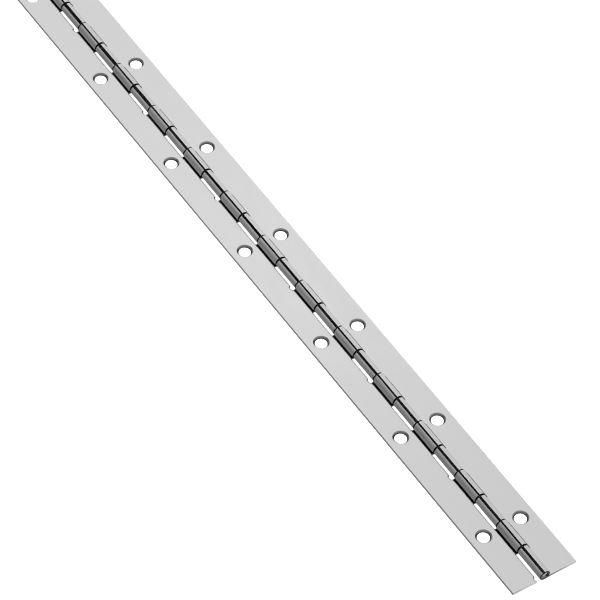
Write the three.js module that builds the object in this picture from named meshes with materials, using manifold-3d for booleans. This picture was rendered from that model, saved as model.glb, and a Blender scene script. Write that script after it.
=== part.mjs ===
// A continuous hinge (piano hinge): two long strips of thin sheet metal, each with a row of knuckles
// rolled from its own inner edge, turning on one pin that runs the whole length.
// The hinge lies open flat. Millimetres, +Z up, +X along the pin, +Y towards the frame leaf.
// The origin is on the underside, below the middle of the pin.
import * as THREE from "three";
import { mergeVertices } from "three/addons/utils/BufferGeometryUtils.js";
import Module from "manifold-3d";

// ---- Driving dimensions ----
const LENGTH = 609.6;
const OPEN_WIDTH = 26.98;
const SHEET = 0.9;
const PIN_DIAMETER = 2.36;
const PIN_CLEARANCE = 0.05; // radial, between the pin and the rolled sheet
const PIN_RECESS = 0.5; // how far the pin's ends stop inside the end knuckles
const PIN_CHAMFER = 0.2;

const KNUCKLE_PITCH = 12.7;
const END_EXTRA = 0.6; // the cut end lies this far past a knuckle boundary
const WIDE_GAP = 0.4; // axial gap at the -X end of each frame knuckle
const NARROW_GAP = 0.15; // axial gap at its +X end
const CURL_END = 15; // degrees above the axis, on the leaf's own side, where the rolling stops
const CURL_STRAIGHT = 1.2; // the last of the sheet stays straight beyond it

const NOTCH_LINE = 3.0; // from the pin's axis to the bottom of the notches
const NOTCH_CORNER = 0.5;
const STEP_DEPTH = 0.6; // the punch's second stroke cuts this much deeper
const STEP_LENGTH = 2.1;
const STEP_RAMP = 0.25;
const KNUCKLES_PER_STROKE = 4; // the punch moves on by this many knuckles at a time

const SCREW_PITCH = 50.8;
const SCREW_FROM_END = 25.4;
const SCREW_LINE = 7.93; // from the pin's axis
const SCREW_HOLE = 4.6;
const COUNTERSINK = 6.0;
const COUNTERSINK_ANGLE = 82;

const CURL_SEGMENTS = 16;
const HOLE_SEGMENTS = 20;
const CORNER_SEGMENTS = 3;
const PIN_SEGMENTS = 32;

// ---- Sizes that follow from them ----
const END = LENGTH / 2;
const LEAF_WIDTH = OPEN_WIDTH / 2;
const BORE_RADIUS = PIN_DIAMETER / 2 + PIN_CLEARANCE;
const BARREL_RADIUS = BORE_RADIUS + SHEET;
const KNUCKLES = Math.round(LENGTH / KNUCKLE_PITCH);
const SCREWS = Math.round(LENGTH / SCREW_PITCH);
const QUARTER_TURN = Math.PI / 2;

// The metal of a finger's root is drawn twice, by the flat plate and by the rolled profile, and joined.
const ROOT_INNER = 1.0;
const ROOT_OUTER = 1.6;

const wasm = await Module();
wasm.setup();

function solidOf(geometry) {
  const bare = geometry.clone();
  bare.deleteAttribute("normal");
  bare.deleteAttribute("uv");
  const merged = mergeVertices(bare, 1e-5);
  return new wasm.Manifold(
    new wasm.Mesh({
      numProp: 3,
      vertProperties: merged.attributes.position.array,
      triVerts: new Uint32Array(merged.index.array),
    }),
  );
}

function geometryOf(solid) {
  const mesh = solid.getMesh();
  const geometry = new THREE.BufferGeometry();
  geometry.setAttribute("position", new THREE.BufferAttribute(mesh.vertProperties, 3));
  geometry.setIndex(new THREE.BufferAttribute(mesh.triVerts, 1));
  geometry.computeVertexNormals();
  return geometry;
}

// ---- Where the knuckles lie along the pin ----

// Boundary 0 is the +X end of the hinge, and the last one is its -X end.
function boundary(index) {
  if (index === 0) return END;
  if (index === KNUCKLES) return -END;
  return END - END_EXTRA - index * KNUCKLE_PITCH;
}

// Even knuckles belong to the frame leaf, and odd ones to the door leaf.
function gapAt(index) {
  if (index === 0 || index === KNUCKLES) return 0;
  return index % 2 === 1 ? WIDE_GAP : NARROW_GAP;
}

function knuckleSpan(index) {
  return {
    low: boundary(index + 1) + gapAt(index + 1) / 2,
    high: boundary(index) - gapAt(index) / 2,
  };
}

// The notch that makes room for a knuckle of the other leaf. A stroke of the door leaf's punch ends at
// every fourth boundary, and the notch that lies on the -X side of it starts with a deeper step.
function notchSpan(index) {
  return {
    low: boundary(index + 1) - gapAt(index + 1) / 2,
    high: boundary(index) + gapAt(index) / 2,
    stepLow: false,
    stepHigh: index % KNUCKLES_PER_STROKE === 0,
    openLow: index + 1 === KNUCKLES,
    openHigh: index === 0,
  };
}

function mirrored(span) {
  return {
    low: -span.high,
    high: -span.low,
    stepLow: span.stepHigh,
    stepHigh: span.stepLow,
    openLow: span.openHigh,
    openHigh: span.openLow,
  };
}

// ---- One leaf, drawn on the +Y side of the pin ----

function arcPoints(cx, cy, radius, from, to, segments) {
  return Array.from({ length: segments + 1 }, (_, i) => {
    const angle = from + ((to - from) * i) / segments;
    return new THREE.Vector2(cx + radius * Math.cos(angle), cy + radius * Math.sin(angle));
  });
}

// Half of a notch's outline, from its mouth to its middle, for an end at x = 0 and metal on the -x side.
function notchHalf(step) {
  const depth = step ? NOTCH_LINE + STEP_DEPTH : NOTCH_LINE;
  const centreY = depth - NOTCH_CORNER;
  const points = [
    new THREE.Vector2(0, ROOT_INNER),
    ...arcPoints(NOTCH_CORNER, centreY, NOTCH_CORNER, Math.PI, QUARTER_TURN, CORNER_SEGMENTS),
  ];
  if (step) {
    points.push(new THREE.Vector2(STEP_LENGTH - STEP_RAMP, depth));
    points.push(new THREE.Vector2(STEP_LENGTH, NOTCH_LINE));
  }
  return points;
}

// Where a cut end of the leaf runs through a notch, the bottom of the notch runs straight out. If the
// notch ends in a step, the cut has left the beginning of its rounded corner.
function notchOpenEnd(step) {
  if (!step) return [new THREE.Vector2(0, NOTCH_LINE)];
  const depth = NOTCH_LINE + STEP_DEPTH;
  return [
    new THREE.Vector2(0, depth - STEP_DEPTH / 2),
    new THREE.Vector2(END_EXTRA, depth),
    new THREE.Vector2(STEP_LENGTH - STEP_RAMP, depth),
    new THREE.Vector2(STEP_LENGTH, NOTCH_LINE),
  ];
}

function notchOutline(notch) {
  const lowHalf = notch.openLow ? notchOpenEnd(notch.stepLow) : notchHalf(notch.stepLow);
  const highHalf = notch.openHigh ? notchOpenEnd(notch.stepHigh) : notchHalf(notch.stepHigh);
  const low = lowHalf.map((p) => new THREE.Vector2(notch.low + p.x, p.y));
  const high = highHalf.map((p) => new THREE.Vector2(notch.high - p.x, p.y));
  return [...low, ...high.reverse()];
}

// The flat of the leaf with the roots of its fingers.
function plateSolid(notches) {
  const outline = [];
  const first = notches[0];
  const last = notches[notches.length - 1];
  if (!first.openLow) outline.push(new THREE.Vector2(-END, ROOT_INNER));
  for (const notch of notches) outline.push(...notchOutline(notch));
  if (!last.openHigh) outline.push(new THREE.Vector2(END, ROOT_INNER));
  outline.push(new THREE.Vector2(END, LEAF_WIDTH));
  outline.push(new THREE.Vector2(-END, LEAF_WIDTH));
  const plate = new THREE.ExtrudeGeometry(new THREE.Shape(outline), {
    depth: SHEET,
    bevelEnabled: false,
  });
  return solidOf(plate);
}

// The end view of a finger: flat under the pin, then rolled round it until it comes back to its own
// leaf's side, where the last of the sheet runs straight and ends a little above the leaf.
// Shape x is the part's y, and shape y is its z.
function curlShape() {
  const start = -QUARTER_TURN;
  const finish = THREE.MathUtils.degToRad(CURL_END) - 2 * Math.PI;
  const onward = new THREE.Vector2(Math.sin(finish), -Math.cos(finish)).multiplyScalar(CURL_STRAIGHT);
  const outer = arcPoints(0, BARREL_RADIUS, BARREL_RADIUS, start, finish, CURL_SEGMENTS);
  const inner = arcPoints(0, BARREL_RADIUS, BORE_RADIUS, finish, start, CURL_SEGMENTS);
  // The bore is drawn round the outside of its circle, so its flats keep the clearance to the pin.
  const spread = 1 / Math.cos((start - finish) / CURL_SEGMENTS / 2);
  const bore = inner.slice(1, -1).map(
    (p) => new THREE.Vector2(p.x * spread, BARREL_RADIUS + (p.y - BARREL_RADIUS) * spread),
  );
  return new THREE.Shape([
    new THREE.Vector2(ROOT_OUTER, 0),
    ...outer,
    outer[outer.length - 1].clone().add(onward),
    inner[0].clone().add(onward),
    inner[0],
    ...bore,
    inner[inner.length - 1],
    new THREE.Vector2(ROOT_OUTER, SHEET),
  ]);
}

function knuckleSolid(span) {
  const rolled = new THREE.ExtrudeGeometry(curlShape(), {
    depth: span.high - span.low,
    bevelEnabled: false,
  });
  // The shape's x, y and depth become the part's y, z and x.
  rolled.applyMatrix4(new THREE.Matrix4().set(0, 0, 1, span.low, 1, 0, 0, 0, 0, 1, 0, 0, 0, 0, 0, 1));
  return solidOf(rolled);
}

function screwCutter(x) {
  const slope = Math.tan(THREE.MathUtils.degToRad(COUNTERSINK_ANGLE / 2));
  const coneFoot = SHEET - (COUNTERSINK - SCREW_HOLE) / 2 / slope;
  const above = 0.5;
  const cutter = new THREE.LatheGeometry(
    [
      new THREE.Vector2(0, -above),
      new THREE.Vector2(SCREW_HOLE / 2, -above),
      new THREE.Vector2(SCREW_HOLE / 2, coneFoot),
      new THREE.Vector2(COUNTERSINK / 2 + above * slope, SHEET + above),
      new THREE.Vector2(0, SHEET + above),
    ],
    HOLE_SEGMENTS,
  );
  cutter.rotateX(QUARTER_TURN);
  cutter.translate(x, SCREW_LINE, 0);
  return solidOf(cutter);
}

function leafGeometry(knuckles, notches, screws) {
  const rolled = wasm.Manifold.union(knuckles.map(knuckleSolid));
  const drilled = plateSolid(notches).subtract(wasm.Manifold.union(screws.map(screwCutter)));
  return geometryOf(drilled.add(rolled));
}

// ---- The three pieces ----

const byPosition = (a, b) => a.low - b.low;
const indices = Array.from({ length: KNUCKLES }, (_, i) => i);
const frameIndices = indices.filter((i) => i % 2 === 0);
const doorIndices = indices.filter((i) => i % 2 === 1);
const screwPlaces = Array.from({ length: SCREWS }, (_, i) => END - SCREW_FROM_END - i * SCREW_PITCH);

const plated = { color: 0xc4c5c6, roughness: 0.18, metalness: 1.0 };
const drawnWire = { color: 0x9a9a98, roughness: 0.35, metalness: 1.0 };

function frameLeaf() {
  const geometry = leafGeometry(
    frameIndices.map(knuckleSpan),
    doorIndices.map(notchSpan).sort(byPosition),
    screwPlaces,
  );
  const mesh = new THREE.Mesh(geometry, new THREE.MeshStandardMaterial(plated));
  mesh.name = "frame_leaf";
  return mesh;
}

// The door leaf is drawn on the +Y side as well, and turned half round about Z.
function doorLeaf() {
  const geometry = leafGeometry(
    doorIndices.map(knuckleSpan).map(mirrored),
    frameIndices.map(notchSpan).map(mirrored).sort(byPosition),
    screwPlaces.map((x) => -x),
  );
  const mesh = new THREE.Mesh(geometry, new THREE.MeshStandardMaterial(plated));
  mesh.name = "door_leaf";
  mesh.rotation.z = Math.PI;
  return mesh;
}

function hingePin() {
  const half = END - PIN_RECESS;
  const radius = PIN_DIAMETER / 2;
  const geometry = new THREE.LatheGeometry(
    [
      new THREE.Vector2(0, -half),
      new THREE.Vector2(radius - PIN_CHAMFER, -half),
      new THREE.Vector2(radius, PIN_CHAMFER - half),
      new THREE.Vector2(radius, half - PIN_CHAMFER),
      new THREE.Vector2(radius - PIN_CHAMFER, half),
      new THREE.Vector2(0, half),
    ],
    PIN_SEGMENTS,
  );
  const mesh = new THREE.Mesh(geometry, new THREE.MeshStandardMaterial(drawnWire));
  mesh.name = "hinge_pin";
  mesh.rotation.z = QUARTER_TURN;
  mesh.position.z = BARREL_RADIUS;
  return mesh;
}

const hinge = new THREE.Group();
hinge.add(frameLeaf(), doorLeaf(), hingePin());

export default hinge;
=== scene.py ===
"""A bright nickel-plated continuous hinge lying open on a pale floor.

Each leaf is built as its real blank, a strip of sheet with screw holes and a row of fingers, and
the fingers are rolled round the pin. A leaf is drawn on the +Y side of the pin, with its back at
height 0. Lengths are in millimetres until a mesh is finished.
"""
import math
import random

import bmesh
import bpy
from mathutils import Matrix, Vector


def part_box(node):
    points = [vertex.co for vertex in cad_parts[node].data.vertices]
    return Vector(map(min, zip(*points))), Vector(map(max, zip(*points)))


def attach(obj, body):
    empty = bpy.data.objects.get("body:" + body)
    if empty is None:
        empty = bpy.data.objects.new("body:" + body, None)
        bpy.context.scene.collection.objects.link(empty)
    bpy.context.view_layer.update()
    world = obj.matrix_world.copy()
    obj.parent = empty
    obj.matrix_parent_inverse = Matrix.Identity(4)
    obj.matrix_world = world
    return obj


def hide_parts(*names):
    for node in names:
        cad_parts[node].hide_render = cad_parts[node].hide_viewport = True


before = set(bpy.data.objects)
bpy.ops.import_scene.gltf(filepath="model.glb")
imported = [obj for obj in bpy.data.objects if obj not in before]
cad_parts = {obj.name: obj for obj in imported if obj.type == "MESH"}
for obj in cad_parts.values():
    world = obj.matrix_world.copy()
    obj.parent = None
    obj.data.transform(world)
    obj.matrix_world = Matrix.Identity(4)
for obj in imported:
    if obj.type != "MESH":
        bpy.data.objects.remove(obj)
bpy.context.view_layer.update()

MM = 0.001

# ---- The hinge, as the CAD model has it ----
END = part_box("frame_leaf")[1].x / MM  # half the hinge's length
LEAF_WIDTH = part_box("frame_leaf")[1].y / MM  # from the pin's axis to a leaf's outer edge
SHEET = 0.9
PIN_RADIUS = 1.18
PIN_RECESS = 0.5  # how far the pin's ends stop inside the end knuckles
BARREL_RADIUS = 2.13
KNUCKLE_PITCH = 12.7
END_EXTRA = 0.6  # the cut end lies this far past a knuckle boundary
WIDE_GAP = 0.4  # between knuckles, at the -X end of each frame knuckle
NARROW_GAP = 0.15  # at its +X end
CURL_END = math.radians(15)  # above the axis, on the leaf's own side, where the rolling stops
CURL_STRAIGHT = 1.2  # the last of the sheet stays straight beyond it
NOTCH_LINE = 3.0  # from the pin's axis to the bottom of the notches
NOTCH_CORNER = 0.5
STEP_DEPTH = 0.6  # the punch's second stroke cuts this much deeper
STEP_LENGTH = 2.1
STEP_RAMP = 0.25
KNUCKLES_PER_STROKE = 4  # the punch moves on by this many knuckles at a time
SCREW_PITCH = 50.8
SCREW_FROM_END = 25.4
SCREW_LINE = 7.93  # from the pin's axis
SCREW_HOLE = 4.6
COUNTERSINK = 6.0
COUNTERSINK_ANGLE = math.radians(82)

KNUCKLES = round(2 * END / KNUCKLE_PITCH)
SCREWS = round(2 * END / SCREW_PITCH)
CURL_LENGTH = BARREL_RADIUS * (2 * math.pi - math.pi / 2 - CURL_END)  # along the barrel's outside
CURL_TIP = -CURL_LENGTH - CURL_STRAIGHT

# ---- The shapes that only the fine model has ----
ROOT_LINE = 1.2  # where the flat plate hands over to the fingers
BACK_EDGE = 0.15  # radius of the sheared edge on the leaf's back, which is the barrel's outside
FRONT_EDGE = 0.2  # radius of the sheared edge on the leaf's front
TIP_ROUND = 0.12  # radius of the edges at a finger's tip
LIP = 0.03  # how far the screw holes' edges are broken
PIN_EDGE = 0.2  # radius of the edges of the pin's cropped ends
PIN_DENT = 0.06  # depth of the dent in each end
PIN_DENT_HALF = 0.5  # the radius at which the dent is half as deep
PIN_DENT_RIM = 0.1  # from the dent to the rounded edge

WOBBLE = 0.018  # how far a rolled knuckle strays from round
WOBBLE_SEED = 7
WOBBLE_START = 0.3  # in radians round the barrel, from below the pin
# Each wave of it: its share, and its radians per millimetre along the pin and round the curl.
WOBBLE_WAVES = ((0.5, 0.35, 0.9), (0.35, 0.9, 0.5), (0.2, 1.7, 1.3))
ALONG_SPREAD = (0.7, 1.3)
ROUND_SPREAD = (-1.3, 1.3)

BULGE = 0.13  # the frame leaf's knuckles lean out by this on the door leaf's side, and in on their own
FLAT_DEPTH = 0.26  # the soft flat that is pressed into them, just before the top
FLAT_PLACE = 6.0  # its middle, along the curl from below the pin
FLAT_WIDTH = 1.25  # how far it spreads each way from there
FLAT_NONE = 100.0  # its depth would grow along the pin from nothing at this x
FLAT_FULL = 45.0  # to all at this one,
FLAT_LEAST = 0.6  # and it has at least this share everywhere

# ---- How dull and dark the cut metal is, from 0 on the faces to 1 on a sheared edge; the near-black it brings is partly painted shade, in the screw holes and the knuckle joints ----
DULL_AND_SHADED_EDGE = 0.26  # the dull, near-black colour of a knuckle's sides, which is also painted shade in the joints, fades out this far in from them
SAWN = 0.2  # on the hinge's sawn ends
MOUTH_CUT = 0.55  # on the countersinks at their mouths

# ---- How finely it is drawn ----
EDGE_STEPS = 3
CORNER_STEPS = 8
RAMP_STEPS = 4
HOLE_STEPS = 64
FINGER_COLUMNS = 8
CURL_STEPS = 52
PIN_STEPS = 64
PIN_EDGE_STEPS = 4
SHARP_ANGLE = math.radians(38)
MERGE_DISTANCE = 1e-4
PARALLEL = 1e-5  # two edges that cross less than this are taken as one straight line

# ---- The camera: places in metres, lens and sensor in millimetres ----
CAMERA_PLACE = Vector((0.84135, -0.52221, 1.01044))
CAMERA_AIM = Vector((-0.51624, 0.39139, -0.76178))
CAMERA_ROLL = math.radians(4.854)
LENS = 218.3
SENSOR = 36.0
CLIP_START = 0.05
CLIP_END = 50.0


# ---- Where things lie along the pin ----

def boundary(index):
    """The x of a joint between knuckles, counted from the +X end."""
    if index == 0:
        return END
    if index == KNUCKLES:
        return -END
    return END - END_EXTRA - index * KNUCKLE_PITCH


def gap_at(index):
    """The gap at a joint. Even knuckles belong to the frame leaf, and odd ones to the door leaf."""
    if index in (0, KNUCKLES):
        return 0.0
    return WIDE_GAP if index % 2 == 1 else NARROW_GAP


def knuckle_span(index):
    low = boundary(index + 1) + gap_at(index + 1) / 2
    high = boundary(index) - gap_at(index) / 2
    return low, high


def notch_span(index):
    """The notch for the other leaf's knuckle: its ends, and which of them are stepped or cut open.

    A stroke of the door leaf's punch ends at every fourth boundary, and the notch that lies on the -X
    side of it starts with a deeper step.
    """
    return {
        "low": boundary(index + 1) - gap_at(index + 1) / 2,
        "high": boundary(index) + gap_at(index) / 2,
        "step_low": False,
        "step_high": index % KNUCKLES_PER_STROKE == 0,
        "open_low": index + 1 == KNUCKLES,
        "open_high": index == 0,
    }


def turned_round(span):
    return {
        "low": -span["high"],
        "high": -span["low"],
        "step_low": span["step_high"],
        "step_high": span["step_low"],
        "open_low": span["open_high"],
        "open_high": span["open_low"],
    }


# ---- The blank's outline ----

def ramp(x_from, y_from, x_to, y_to):
    """A smooth step between two levels."""
    points = []
    for i in range(RAMP_STEPS + 1):
        t = i / RAMP_STEPS
        ease = (1 - math.cos(math.pi * t)) / 2
        points.append(Vector((x_from + (x_to - x_from) * t, y_from + (y_to - y_from) * ease)))
    return points


def notch_half(step):
    """Half of a notch, from its mouth at x = 0 towards its middle at +x."""
    depth = NOTCH_LINE + STEP_DEPTH if step else NOTCH_LINE
    points = []
    for i in range(CORNER_STEPS + 1):
        turn = math.pi - math.pi / 2 * i / CORNER_STEPS
        points.append(Vector((
            NOTCH_CORNER + NOTCH_CORNER * math.cos(turn),
            depth - NOTCH_CORNER + NOTCH_CORNER * math.sin(turn),
        )))
    if step:
        points += ramp(STEP_LENGTH - STEP_RAMP, depth, STEP_LENGTH, NOTCH_LINE)
    return points


def notch_open_end(step):
    """The same where the hinge's cut end runs through the notch."""
    if not step:
        return [Vector((0.0, NOTCH_LINE))]
    depth = NOTCH_LINE + STEP_DEPTH
    cut = ramp(0.0, depth - STEP_DEPTH / 2, END_EXTRA, depth)
    return cut + ramp(STEP_LENGTH - STEP_RAMP, depth, STEP_LENGTH, NOTCH_LINE)


def notch_side(notch, side):
    """One side of a notch, "low" or "high", from its end towards its middle."""
    shape = notch_open_end if notch["open_" + side] else notch_half
    return shape(notch["step_" + side])


def finger_columns(low, high):
    """Points across a finger, between its sides."""
    inner = [low + (high - low) * i / FINGER_COLUMNS for i in range(1, FINGER_COLUMNS)]
    return [low + DULL_AND_SHADED_EDGE, *inner, high - DULL_AND_SHADED_EDGE]


def root_points(finger):
    low, high = finger
    points = [(Vector((low, ROOT_LINE)), True)]
    points += [(Vector((x, ROOT_LINE)), True) for x in finger_columns(low, high)]
    points.append((Vector((high, ROOT_LINE)), False))
    return points


def blank_outline(fingers, notches):
    """The plate's outline, anticlockwise, as (point, the edge that leaves it is a finger's root)."""
    outline = []
    gaps = sorted(notches, key=lambda notch: notch["low"])
    roots = sorted(fingers)
    if roots[0][0] < gaps[0]["low"]:
        outline += root_points(roots.pop(0))
    for notch in gaps:
        low = notch_side(notch, "low")
        high = notch_side(notch, "high")
        outline += [(Vector((notch["low"] + p.x, p.y)), False) for p in low]
        outline += [(Vector((notch["high"] - p.x, p.y)), False) for p in reversed(high)]
        if roots:
            outline += root_points(roots.pop(0))
    outline.append((Vector((END, LEAF_WIDTH)), False))
    outline.append((Vector((-END, LEAF_WIDTH)), False))
    return outline


def inset_corner(before, here, after, inset_before, inset_after):
    """Where a corner comes to lie when the edges before and after it are moved in."""
    first = (here - before).normalized()
    second = (after - here).normalized()
    n1 = Vector((-first.y, first.x))
    n2 = Vector((-second.y, second.x))
    det = n1.x * n2.y - n1.y * n2.x
    if abs(det) < PARALLEL:
        return here + n1 * inset_before
    x = (inset_before * n2.y - inset_after * n1.y) / det
    y = (n1.x * inset_after - n2.x * inset_before) / det
    return here + Vector((x, y))


def inset_outline(outline, inset):
    """Every edge but the fingers' roots moved in by the inset."""
    moved = []
    for i, (here, leaves_root) in enumerate(outline):
        before, arrives_root = outline[i - 1]
        after = outline[(i + 1) % len(outline)][0]
        inset_before = 0.0 if arrives_root else inset
        inset_after = 0.0 if leaves_root else inset
        moved.append(inset_corner(before, here, after, inset_before, inset_after))
    return moved


# ---- The sheet's edges ----

def edge_profile():
    """(inset, height) from the back face round the sheared edge to the front face."""
    points = []
    for i in range(EDGE_STEPS + 1):
        turn = math.pi / 2 * i / EDGE_STEPS
        points.append((BACK_EDGE * (1 - math.sin(turn)), BACK_EDGE * (1 - math.cos(turn))))
    for i in range(EDGE_STEPS + 1):
        turn = math.pi / 2 * i / EDGE_STEPS
        points.append((FRONT_EDGE * (1 - math.cos(turn)), SHEET - FRONT_EDGE * (1 - math.sin(turn))))
    return points


def edge_dullness_and_shade(place, height):
    """How dull the sheet is at a place on its outline: bright on its faces, and dull where it is cut, which
    the material paints near-black, partly as painted shade.
    """
    if height in (0.0, SHEET):
        return 0.0
    return 1.0 if abs(place.x) < END else SAWN


def hole_profile():
    """(radius, height, dullness and painted shade) from the back up the screw hole and its countersink to
    the front. The hole's straight wall gets the full mark, near-black, which stands in for the shade inside
    the hole.
    """
    slope = math.tan(COUNTERSINK_ANGLE / 2)
    foot = SHEET - (COUNTERSINK - SCREW_HOLE) / 2 / slope
    hole = SCREW_HOLE / 2
    mouth = COUNTERSINK / 2
    return [
        (hole + LIP, 0.0, 0.0),
        (hole, LIP, 1.0),
        (hole, foot, 1.0),
        (mouth - LIP, SHEET - LIP / slope, MOUTH_CUT),
        (mouth + LIP / 2, SHEET - LIP / 3, MOUTH_CUT),
        (mouth + 2 * LIP, SHEET, 0.0),
    ]


# ---- Meshes ----

class Sheet:
    """A mesh under construction, with a mark on each vertex for rolled and for cut metal; the cut mark's
    near-black is partly painted shade.
    """

    def __init__(self):
        self.bm = bmesh.new()
        self.rolled = self.bm.verts.layers.float.new("rolled")
        self.cut = self.bm.verts.layers.float.new("cut")

    def vert(self, x, y, z, rolled=0.0, cut=0.0):
        vert = self.bm.verts.new((x, y, z))
        vert[self.rolled] = rolled
        # The cut mark paints near-black: dull cut metal, and painted shade in the holes and joints.
        vert[self.cut] = cut
        return vert

    def face(self, verts):
        face = self.bm.faces.new(verts)
        face.smooth = True

    def bridge(self, near, far):
        """Joins two closed rings of vertices."""
        for i in range(len(near)):
            j = (i + 1) % len(near)
            self.face((near[i], near[j], far[j], far[i]))

    def fill(self, loops):
        """Fills the flat face between an outline and the holes in it."""
        edges = []
        for loop in loops:
            for i, vert in enumerate(loop):
                pair = (loop[i - 1], vert)
                edges.append(self.bm.edges.get(pair) or self.bm.edges.new(pair))
        made = bmesh.ops.triangle_fill(self.bm, use_beauty=True, edges=edges)
        for piece in made["geom"]:
            if isinstance(piece, bmesh.types.BMFace):
                piece.smooth = False

    def finish(self, name, material, turned=False):
        """Makes the object, in metres. Its sharp edges are marked, and turned means half round about Z."""
        bmesh.ops.remove_doubles(self.bm, verts=self.bm.verts, dist=MERGE_DISTANCE)
        bmesh.ops.recalc_face_normals(self.bm, faces=self.bm.faces)
        for edge in self.bm.edges:
            edge.smooth = edge.calc_face_angle(0.0) < SHARP_ANGLE
        turn = Matrix.Rotation(math.pi, 4, "Z") if turned else Matrix.Identity(4)
        bmesh.ops.transform(self.bm, matrix=Matrix.Scale(MM, 4) @ turn, verts=self.bm.verts)
        mesh = bpy.data.meshes.new(name)
        self.bm.to_mesh(mesh)
        self.bm.free()
        mesh.materials.append(material)
        piece = bpy.data.objects.new(name, mesh)
        bpy.context.scene.collection.objects.link(piece)
        weighted = piece.modifiers.new("even shading", "WEIGHTED_NORMAL")
        weighted.mode = "FACE_AREA"
        weighted.keep_sharp = True
        return piece


# ---- The flat plate ----

def add_plate(sheet, outline, screws):
    rings = []
    for inset, height in edge_profile():
        points = inset_outline(outline, inset)
        rings.append([
            sheet.vert(p.x, p.y, height, cut=edge_dullness_and_shade(place, height))
            for p, (place, _) in zip(points, outline)
        ])
    for lower, upper in zip(rings, rings[1:]):
        for i, (_, is_root) in enumerate(outline):
            if not is_root:
                j = (i + 1) % len(outline)
                sheet.face((lower[i], lower[j], upper[j], upper[i]))
    holes = [add_hole(sheet, x) for x in screws]
    sheet.fill([rings[0], *(hole[0] for hole in holes)])
    sheet.fill([rings[-1], *(hole[-1] for hole in holes)])


def add_hole(sheet, x):
    rings = []
    for radius, height, dullness_and_shade in hole_profile():
        ring = []
        for i in range(HOLE_STEPS):
            turn = 2 * math.pi * i / HOLE_STEPS
            ring.append(sheet.vert(
                x + radius * math.cos(turn),
                SCREW_LINE + radius * math.sin(turn),
                height,
                cut=dullness_and_shade,
            ))
        rings.append(ring)
    for lower, upper in zip(rings, rings[1:]):
        sheet.bridge(upper, lower)
    return rings


# ---- The rolled fingers ----

def finger_section(low, high):
    """(x, height, is cut) round a finger's cross-section."""
    profile = edge_profile()
    columns = finger_columns(low, high)
    loop = [(x, 0.0, False) for x in columns]
    loop += [(high - inset, height, height < SHEET) for inset, height in profile]
    loop += [(x, SHEET, False) for x in reversed(columns)]
    loop += [(low + inset, height, height < SHEET) for inset, height in reversed(profile)]
    return loop


def finger_rows():
    """(along, how far the section is shrunk) for each ring of a finger."""
    rows = [(ROOT_LINE, 0.0), (ROOT_LINE / 2, 0.0)]
    rows += [(-CURL_LENGTH * i / CURL_STEPS, 0.0) for i in range(CURL_STEPS + 1)]
    rows += [(-CURL_LENGTH - CURL_STRAIGHT / 2, 0.0), (CURL_TIP + TIP_ROUND, 0.0)]
    for i in range(1, EDGE_STEPS + 2):
        turn = math.pi / 2 * i / (EDGE_STEPS + 1)
        rows.append((CURL_TIP + TIP_ROUND * (1 - math.sin(turn)), TIP_ROUND * (1 - math.cos(turn))))
    return rows


def rolled_point(x, along, height, stray):
    """A point of the sheet after rolling: flat for along > 0, then rolled, and straight at its end."""
    if along >= 0:
        return x, along, height
    straight = max(0.0, -along - CURL_LENGTH)
    turn = -math.pi / 2 - min(-along, CURL_LENGTH) / BARREL_RADIUS
    radius = BARREL_RADIUS - height + stray * (1 - height / SHEET)
    y = radius * math.cos(turn) + straight * math.sin(turn)
    z = BARREL_RADIUS + radius * math.sin(turn) - straight * math.cos(turn)
    return x, y, z


def wobble_of(x, along, waves):
    """How far the barrel strays from round here: nothing at the flat, and a slow wander past it."""
    fade = min(1.0, max(0.0, -along / BARREL_RADIUS - WOBBLE_START))
    total = sum(size * math.sin(fx * x + fs * along + phase) for size, fx, fs, phase in waves)
    return WOBBLE * fade * total


def press_of(x, along):
    """The shape that the rolling tool leaves on the frame leaf's knuckles."""
    if along >= 0:
        return 0.0
    share = min(1.0, max(FLAT_LEAST, (FLAT_NONE - x) / (FLAT_NONE - FLAT_FULL)))
    flat = FLAT_DEPTH * share * math.exp(-((along + FLAT_PLACE) / FLAT_WIDTH) ** 2)
    turn = min(-along, CURL_LENGTH) / BARREL_RADIUS
    return BULGE * math.sin(turn) - flat


def knuckle_waves(chance):
    """(size, radians along the pin, radians round the curl, phase) of each wave of one knuckle."""
    waves = []
    for size, along_pin, round_curl in WOBBLE_WAVES:
        waves.append((
            size,
            along_pin * chance.uniform(*ALONG_SPREAD),
            round_curl * chance.uniform(*ROUND_SPREAD),
            chance.uniform(0, 2 * math.pi),
        ))
    return waves


def add_finger(sheet, low, high, waves, pressed):
    section = finger_section(low, high)
    rings = []
    for along, shrink in finger_rows():
        rolled = min(1.0, max(0.0, -along))  # grows over the first millimetre of the curl
        ring = []
        for x, height, is_cut in section:
            x = min(max(x, low + shrink), high - shrink)
            height = min(max(height, shrink), SHEET - shrink)
            stray = wobble_of(x, along, waves) + (press_of(x, along) if pressed else 0.0)
            place = rolled_point(x, along, height, stray)
            # Cut edges are painted near-black: dull metal, and painted shade in the joints between
            # knuckles. On the flat stretch the back stays bright to its edge, as the plate's does.
            is_dull_or_shaded = is_cut and (height > 0 or along < 0)
            ring.append(sheet.vert(*place, rolled=rolled, cut=1.0 if is_dull_or_shaded or shrink else 0.0))
        rings.append(ring)
    for near, far in zip(rings, rings[1:]):
        sheet.bridge(near, far)
    sheet.face(rings[-1])


def build_leaf(name, fingers, notches, screws, material, turned=False):
    """One leaf. The door leaf is the turned one, and only the frame leaf's knuckles are pressed."""
    sheet = Sheet()
    add_plate(sheet, blank_outline(fingers, notches), screws)
    chance = random.Random(WOBBLE_SEED + turned)
    for low, high in fingers:
        add_finger(sheet, low, high, knuckle_waves(chance), pressed=not turned)
    return sheet.finish(name, material, turned)


# ---- The pin ----

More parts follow.
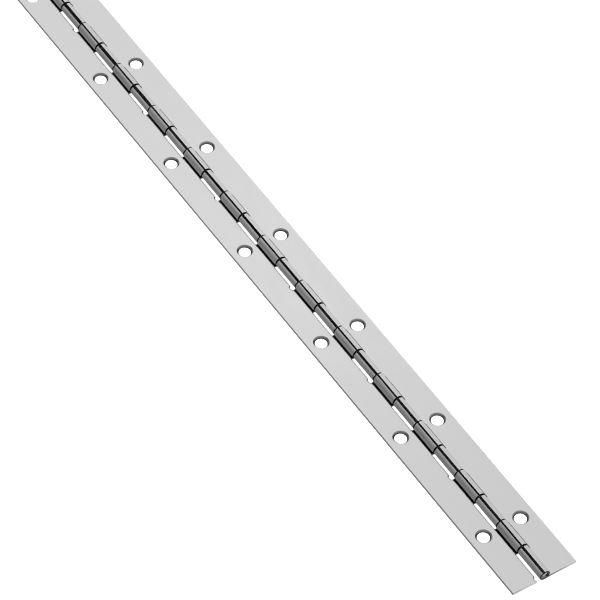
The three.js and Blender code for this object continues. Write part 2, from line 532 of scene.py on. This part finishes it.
def pin_end_profile():
    """(radius, how far out) from the middle of a cropped end round its edge to the wire's side."""
    points = [
        (0.0, -PIN_DENT),
        (PIN_DENT_HALF, -PIN_DENT / 2),
        (PIN_RADIUS - PIN_EDGE - PIN_DENT_RIM, 0.0),
    ]
    for i in range(1, PIN_EDGE_STEPS + 1):
        turn = math.pi / 2 * i / PIN_EDGE_STEPS
        points.append((
            PIN_RADIUS - PIN_EDGE + PIN_EDGE * math.sin(turn),
            PIN_EDGE * (math.cos(turn) - 1),
        ))
    return points


def pin_ring(wire, x, radius):
    ring = []
    for i in range(PIN_STEPS):
        turn = 2 * math.pi * i / PIN_STEPS
        y = radius * math.cos(turn)
        z = BARREL_RADIUS + radius * math.sin(turn)
        ring.append(wire.vert(x, y, z, cut=1.0))
    return ring


def add_pin_end(wire, side):
    """One end of the pin, on the side -1 or 1. Returns the ring that its outer edge ends in."""
    half = END - PIN_RECESS
    (_, dent), *rest = pin_end_profile()
    middle = wire.vert(side * (half + dent), 0, BARREL_RADIUS, cut=1.0)
    rings = [pin_ring(wire, side * (half + out), radius) for radius, out in rest]
    for i in range(PIN_STEPS):
        wire.face((middle, rings[0][i], rings[0][(i + 1) % PIN_STEPS]))
    for inner, outer in zip(rings, rings[1:]):
        wire.bridge(inner, outer)
    return rings[-1]


def build_pin(name, material):
    """A wire with rounded edges at its cropped ends, and a shallow dent in each."""
    wire = Sheet()
    wire.bridge(add_pin_end(wire, -1), add_pin_end(wire, 1))
    return wire.finish(name, material)


# ---- Materials ----

# Noises, in waves per metre along the pin, across it and up.
CLOUDS = (60, 160, 160)
ROLLING_LINES = (50, 9000, 9000)
ROLLING_BANDS = (8, 900, 900)
MOTTLE = (900, 3600, 3600)
MOTTLE_HARSHNESS = 0.65
CUT_GRIT = (7000, 7000, 7000)
DRAWN_LINES = (60, 8000, 8000)
WIRE_GRIT = (5000, 5000, 5000)
NOISE_LOW = 0.3  # most of a noise lies from here
NOISE_HIGH = 0.7  # to here
CLOUD_LOW = 0.25
CLOUD_HIGH = 0.75

NICKEL = (0.73, 0.73, 0.735)
NICKEL_SHADE = (0.58, 0.58, 0.585)
# Near-black cut metal: dull sheared edges, and painted shade in the screw holes and knuckle joints.
CUT_METAL_AND_PAINTED_SHADE = (0.03, 0.03, 0.03)
WIRE_DARK = (0.3, 0.3, 0.29)
WIRE_LIGHT = (0.42, 0.42, 0.41)
WIRE_METALLIC = 0.9
FLOOR_COLOUR = (0.86, 0.86, 0.86, 1.0)
FLOOR_ROUGHNESS = 0.9
FLOOR_SPECULAR = 0.1

# The plate's roughness, and what its bands, rolled metal and cut metal add to it.
PLATE_ROUGHNESS = (0.07, 0.13)
BAND_ROUGHNESS = 0.04
ROLLED_ROUGHNESS = 0.03
CUT_ROUGHNESS = 0.08
WIRE_ROUGHNESS = (0.28, 0.45)
# How far mottling and clouds take the nickel towards its shade.
MOTTLE_TONE = 0.9
CLOUD_TONE = 0.15

# Bumps: strength, and height in metres.
LINES_BUMP = (0.05, 0.00002)
MOTTLE_BUMP = (0.5, 0.00002)
CUT_BUMP = (0.3, 0.00004)
WIRE_BUMP = (0.2, 0.00003)


class Nodes:
    """A short way to write a node tree."""

    def __init__(self, tree):
        self.tree = tree
        tree.nodes.clear()

    def add(self, kind, inputs=None, **settings):
        node = self.tree.nodes.new(kind)
        for key, value in settings.items():
            setattr(node, key, value)
        for key, value in (inputs or {}).items():
            if isinstance(value, bpy.types.NodeSocket):
                self.tree.links.new(value, node.inputs[key])
            else:
                node.inputs[key].default_value = value
        return node

    def noise(self, place, stretch, detail=3.0, roughness=0.5):
        """Noise stretched by a factor on each axis, so a small factor draws it out."""
        mapping = self.add("ShaderNodeMapping", {"Vector": place, "Scale": stretch})
        noise = self.add("ShaderNodeTexNoise", {
            "Vector": mapping.outputs["Vector"],
            "Scale": 1.0,
            "Detail": detail,
            "Roughness": roughness,
        })
        return noise.outputs["Fac"]

    def span(self, value, low, high, to_low, to_high):
        node = self.add("ShaderNodeMapRange", {
            "Value": value,
            "From Min": low,
            "From Max": high,
            "To Min": to_low,
            "To Max": to_high,
        })
        return node.outputs["Result"]

    def math(self, operation, first, second):
        node = self.add("ShaderNodeMath", {0: first, 1: second}, operation=operation)
        return node.outputs["Value"]

    def blend(self, amount, first, second, how="MIX"):
        """A mix of two colours, each a socket or three numbers."""
        mix = self.add("ShaderNodeMix", data_type="RGBA", blend_type=how)
        for key, value in (("Factor", amount), ("A", first), ("B", second)):
            socket = next(i for i in mix.inputs if i.name == key and i.enabled)
            if isinstance(value, bpy.types.NodeSocket):
                self.tree.links.new(value, socket)
            elif isinstance(value, tuple):
                socket.default_value = (*value, 1.0)
            else:
                socket.default_value = value
        return next(o for o in mix.outputs if o.enabled)

    def mark(self, name):
        return self.add("ShaderNodeAttribute", attribute_name=name).outputs["Fac"]

    def bump(self, height, strength, distance, below=None):
        inputs = {"Height": height, "Strength": strength, "Distance": distance}
        if below is not None:
            inputs["Normal"] = below
        return self.add("ShaderNodeBump", inputs).outputs["Normal"]

    def surface(self, settings):
        """The principled shader, joined to the output."""
        shader = self.add("ShaderNodeBsdfPrincipled", settings)
        self.add("ShaderNodeOutputMaterial", {"Surface": shader.outputs["BSDF"]})


def new_material(name):
    material = bpy.data.materials.new(name)
    material.use_nodes = True
    return material, Nodes(material.node_tree)


def plated_steel():
    """Bright nickel over rolled sheet: faint rolling lines, cloudy gloss, mottled knuckles, and dull cuts
    painted near-black, partly as painted shade.
    """
    material, nodes = new_material("bright nickel plate")
    place = nodes.add("ShaderNodeTexCoord").outputs["Object"]
    rolled = nodes.mark("rolled")
    cut = nodes.mark("cut")
    clouds = nodes.noise(place, CLOUDS, detail=4.0)
    lines = nodes.noise(place, ROLLING_LINES)
    bands = nodes.noise(place, ROLLING_BANDS)
    mottle = nodes.noise(place, MOTTLE, detail=5.0, roughness=MOTTLE_HARSHNESS)
    grit = nodes.noise(place, CUT_GRIT)

    gloss = nodes.span(clouds, NOISE_LOW, NOISE_HIGH, *PLATE_ROUGHNESS)
    gloss = nodes.math("ADD", gloss, nodes.span(bands, NOISE_LOW, NOISE_HIGH, 0.0, BAND_ROUGHNESS))
    gloss = nodes.math("ADD", gloss, nodes.math("MULTIPLY", rolled, ROLLED_ROUGHNESS))
    gloss = nodes.math("ADD", gloss, nodes.math("MULTIPLY", cut, CUT_ROUGHNESS))

    mottle_tone = nodes.span(mottle, NOISE_LOW, NOISE_HIGH, 0.0, MOTTLE_TONE)
    tone = nodes.math("MULTIPLY", mottle_tone, rolled)
    tone = nodes.math("ADD", tone, nodes.span(clouds, CLOUD_LOW, CLOUD_HIGH, 0.0, CLOUD_TONE))
    colour = nodes.blend(tone, NICKEL, NICKEL_SHADE)
    # The cut mark takes the colour to near-black: dull cut metal, and painted shade in the holes and
    # joints.
    colour = nodes.blend(cut, colour, CUT_METAL_AND_PAINTED_SHADE)

    normal = nodes.bump(lines, *LINES_BUMP)
    mottled = nodes.math("MULTIPLY", mottle, rolled)
    normal = nodes.bump(mottled, *MOTTLE_BUMP, normal)
    rough_cut = nodes.math("MULTIPLY", grit, cut)
    normal = nodes.bump(rough_cut, *CUT_BUMP, normal)

    nodes.surface({"Base Color": colour, "Metallic": 1.0, "Roughness": gloss, "Normal": normal})
    return material


def drawn_steel():
    """Plain drawn wire: fine lines along it, and rough cropped ends."""
    material, nodes = new_material("drawn steel wire")
    place = nodes.add("ShaderNodeTexCoord").outputs["Object"]
    lines = nodes.noise(place, DRAWN_LINES, detail=4.0)
    grit = nodes.noise(place, WIRE_GRIT, detail=4.0)
    colour = nodes.blend(grit, WIRE_DARK, WIRE_LIGHT)
    normal = nodes.bump(lines, *WIRE_BUMP)
    normal = nodes.bump(grit, *WIRE_BUMP, normal)
    nodes.surface({
        "Base Color": colour,
        "Metallic": WIRE_METALLIC,
        "Roughness": nodes.span(lines, NOISE_LOW, NOISE_HIGH, *WIRE_ROUGHNESS),
        "Normal": normal,
    })
    return material


def pale_floor():
    material, nodes = new_material("pale floor")
    nodes.surface({
        "Base Color": FLOOR_COLOUR,
        "Roughness": FLOOR_ROUGHNESS,
        "Specular IOR Level": FLOOR_SPECULAR,
    })
    return material


# ---- The studio, in metres ----

FLOOR_SIZE = 24.0
FLOOR_DROP = 0.0002  # below the hinge's back

LAMP_SIZE = 0.8
# Where the soft lamps stand, and their power: one behind the camera, and one lower on its left.
LAMPS = [(CAMERA_PLACE * 2, 60.0), (Vector((1.2, -1.7, 1.9)), 70.0)]

HALF_TURN = 180
FULL_LEAN = 1
# What the polished metal mirrors, as (angle round the pin's axis, brightness), from +Y at 0 up to +Z at 90.
# FRONT_WALL is the part of the studio that the front view's metal mirrors, with one black band in it, and
# ROOM_WALL is the rest.
FRONT_WALL = [(-180, 0.24), (-147, 0.3), (-120, 0.4), (-100, 0.4), (-70, 0.6), (-55, 0.84), (50, 0.84),
              (64, 0.86), (70, 1.15), (73, 1.15), (76, 0.0), (113, 0.0), (116, 0.57), (128, 0.5),
              (145, 0.37), (180, 0.26)]
ROOM_WALL = [(-180, 0.1), (-140, 0.1), (-90, 1.1), (-50, 1.1), (50, 0.82), (120, 0.75), (160, 0.6),
             (180, 0.1)]
# The share of FRONT_WALL, and its brightness, by how far a direction leans along the pin, from -1 to 1.
FRONT_SHARE = [(-1.0, 0.0), (-0.78, 0.0), (-0.72, 1.0), (-0.27, 1.0), (-0.2, 0.0), (1.0, 0.0)]
FRONT_LEVEL = [(-0.61, 1.02), (-0.52, 1.12), (-0.46, 0.97), (-0.39, 0.94), (0.0, 1.0)]


def build_floor():
    bm = bmesh.new()
    half = FLOOR_SIZE / 2
    corners = [(-half, -half), (half, -half), (half, half), (-half, half)]
    bm.faces.new([bm.verts.new((x, y, -FLOOR_DROP)) for x, y in corners])
    mesh = bpy.data.meshes.new("floor")
    bm.to_mesh(mesh)
    bm.free()
    mesh.materials.append(pale_floor())
    floor = bpy.data.objects.new("floor", mesh)
    bpy.context.scene.collection.objects.link(floor)
    floor.visible_glossy = False


def light_ramp(nodes, value, stops, half_range):
    """A soft change of level by (place, level) stops, with places from -half_range to half_range."""
    ramp_node = nodes.add("ShaderNodeValToRGB", {"Fac": value})
    elements = ramp_node.color_ramp.elements
    ramp_node.color_ramp.interpolation = "EASE"
    while len(elements) > 1:
        elements.remove(elements[-1])
    for i, (place, level) in enumerate(stops):
        position = (place / half_range + 1) / 2
        if i == 0:
            elements[0].position = position
        else:
            elements.new(position)
        elements[i].color = (level, level, level, 1.0)
    return ramp_node.outputs["Color"]


def light_world():
    world = bpy.data.worlds.new("studio")
    bpy.context.scene.world = world
    world.use_nodes = True
    nodes = Nodes(world.node_tree)
    place = nodes.add("ShaderNodeTexCoord").outputs["Generated"]
    parts = nodes.add("ShaderNodeSeparateXYZ", {"Vector": place}).outputs
    turn = nodes.math("ARCTAN2", parts["Z"], parts["Y"])
    angle = nodes.span(turn, -math.pi, math.pi, 0.0, 1.0)
    lean = nodes.span(parts["X"], -1.0, 1.0, 0.0, 1.0)
    front = light_ramp(nodes, angle, FRONT_WALL, HALF_TURN)
    front = nodes.blend(1.0, front, light_ramp(nodes, lean, FRONT_LEVEL, FULL_LEAN), "MULTIPLY")
    room = light_ramp(nodes, angle, ROOM_WALL, HALF_TURN)
    wall = nodes.blend(light_ramp(nodes, lean, FRONT_SHARE, FULL_LEAN), room, front)
    shader = nodes.add("ShaderNodeBackground", {"Color": wall, "Strength": 1.0})
    nodes.add("ShaderNodeOutputWorld", {"Surface": shader.outputs["Background"]})


def light_floor():
    """Soft lamps that brighten the floor, and that the metal doesn't mirror."""
    for place, power in LAMPS:
        data = bpy.data.lights.new("fill", "AREA")
        data.size = LAMP_SIZE
        data.energy = power
        lamp = bpy.data.objects.new("fill", data)
        bpy.context.scene.collection.objects.link(lamp)
        lamp.location = place
        lamp.rotation_mode = "QUATERNION"
        lamp.rotation_quaternion = (-place).to_track_quat("-Z", "Y")
        lamp.visible_glossy = False
        lamp.visible_camera = False


def place_camera():
    data = bpy.data.cameras.new("camera")
    data.lens = LENS
    data.sensor_width = SENSOR
    data.clip_start = CLIP_START
    data.clip_end = CLIP_END
    camera = bpy.data.objects.new("camera", data)
    bpy.context.scene.collection.objects.link(camera)
    level = CAMERA_AIM.to_track_quat("-Z", "Y").to_matrix().to_4x4()
    roll = Matrix.Rotation(CAMERA_ROLL, 4, "Z")
    camera.matrix_world = Matrix.Translation(CAMERA_PLACE) @ level @ roll
    bpy.context.scene.camera = camera


# ---- Making it all ----

def build_hinge():
    plated = plated_steel()
    even = range(0, KNUCKLES, 2)
    odd = range(1, KNUCKLES, 2)
    screws = [END - SCREW_FROM_END - i * SCREW_PITCH for i in range(SCREWS)]

    frame_leaf = build_leaf(
        "frame_leaf_sheet",
        [knuckle_span(i) for i in even],
        [notch_span(i) for i in odd],
        screws,
        plated,
    )
    # The door leaf is drawn on the +Y side as well, and turned half round about Z.
    door_leaf = build_leaf(
        "door_leaf_sheet",
        [(-high, -low) for low, high in map(knuckle_span, odd)],
        [turned_round(notch_span(i)) for i in even],
        [-x for x in screws],
        plated,
        turned=True,
    )
    pin = build_pin("pin_wire", drawn_steel())
    for piece, body, node, slot in (
        (frame_leaf, "frame_side", "frame_leaf", "plated_sheet"),
        (door_leaf, "door_side", "door_leaf", "plated_sheet"),
        (pin, "frame_side", "hinge_pin", "pin_wire"),
    ):
        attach(piece, body)
        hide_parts(node)


bpy.context.scene.view_settings.view_transform = "Standard"
bpy.context.scene.cycles.filter_width = 1.0
place_camera()
light_world()
light_floor()
build_floor()
build_hinge()
